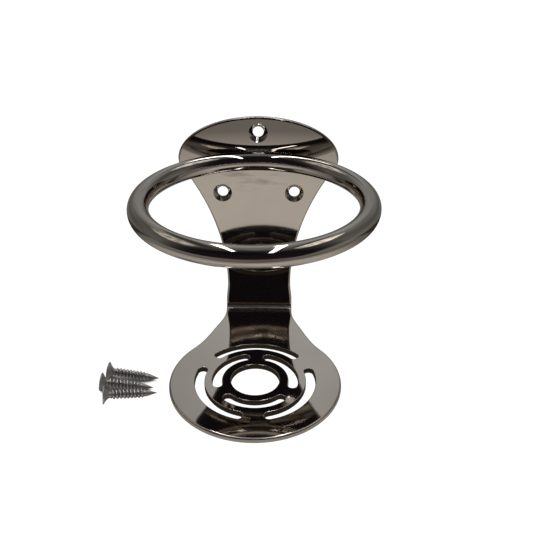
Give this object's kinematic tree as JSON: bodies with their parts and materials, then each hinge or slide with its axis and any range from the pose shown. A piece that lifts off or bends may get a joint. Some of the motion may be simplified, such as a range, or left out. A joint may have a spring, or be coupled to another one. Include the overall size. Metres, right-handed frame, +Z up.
{
  "type": "hair dryer holder",
  "caption": "Wall-mounted hair dryer holder: a round-bar ring welded to a bent steel bracket with a slotted round tray below it, and loose countersunk screws beside it.",
  "frame": {"origin": "middle of the round tray's centre hole, in the plane of the tray's underside", "axes": "+Z up through the ring, +Y towards the wall, +X to the right as seen from the room"},
  "size_m": [0.1176, 0.1025, 0.1024],
  "materials": {
    "polished_steel": "mirror polished stainless steel",
    "screw_steel": "dull zinc-plated steel"
  },
  "bodies": {
    "holder": {"bracket": "polished_steel", "ring": "polished_steel", "ring_weld": "polished_steel"},
    "back_screw": {"screw_back": "screw_steel"},
    "middle_screw": {"screw_middle": "screw_steel"},
    "front_screw": {"screw_front": "screw_steel"}
  },
  "joints": [
    {"name": "back_screw_lift", "type": "slide", "parent": "holder", "child": "back_screw", "axis": [0, 0, 1], "range_m": [0, 0.05]},
    {"name": "middle_screw_lift", "type": "slide", "parent": "holder", "child": "middle_screw", "axis": [0, 0, 1], "range_m": [0, 0.05]},
    {"name": "front_screw_lift", "type": "slide", "parent": "holder", "child": "front_screw", "axis": [0, 0, 1], "range_m": [0, 0.05]}
  ]
}
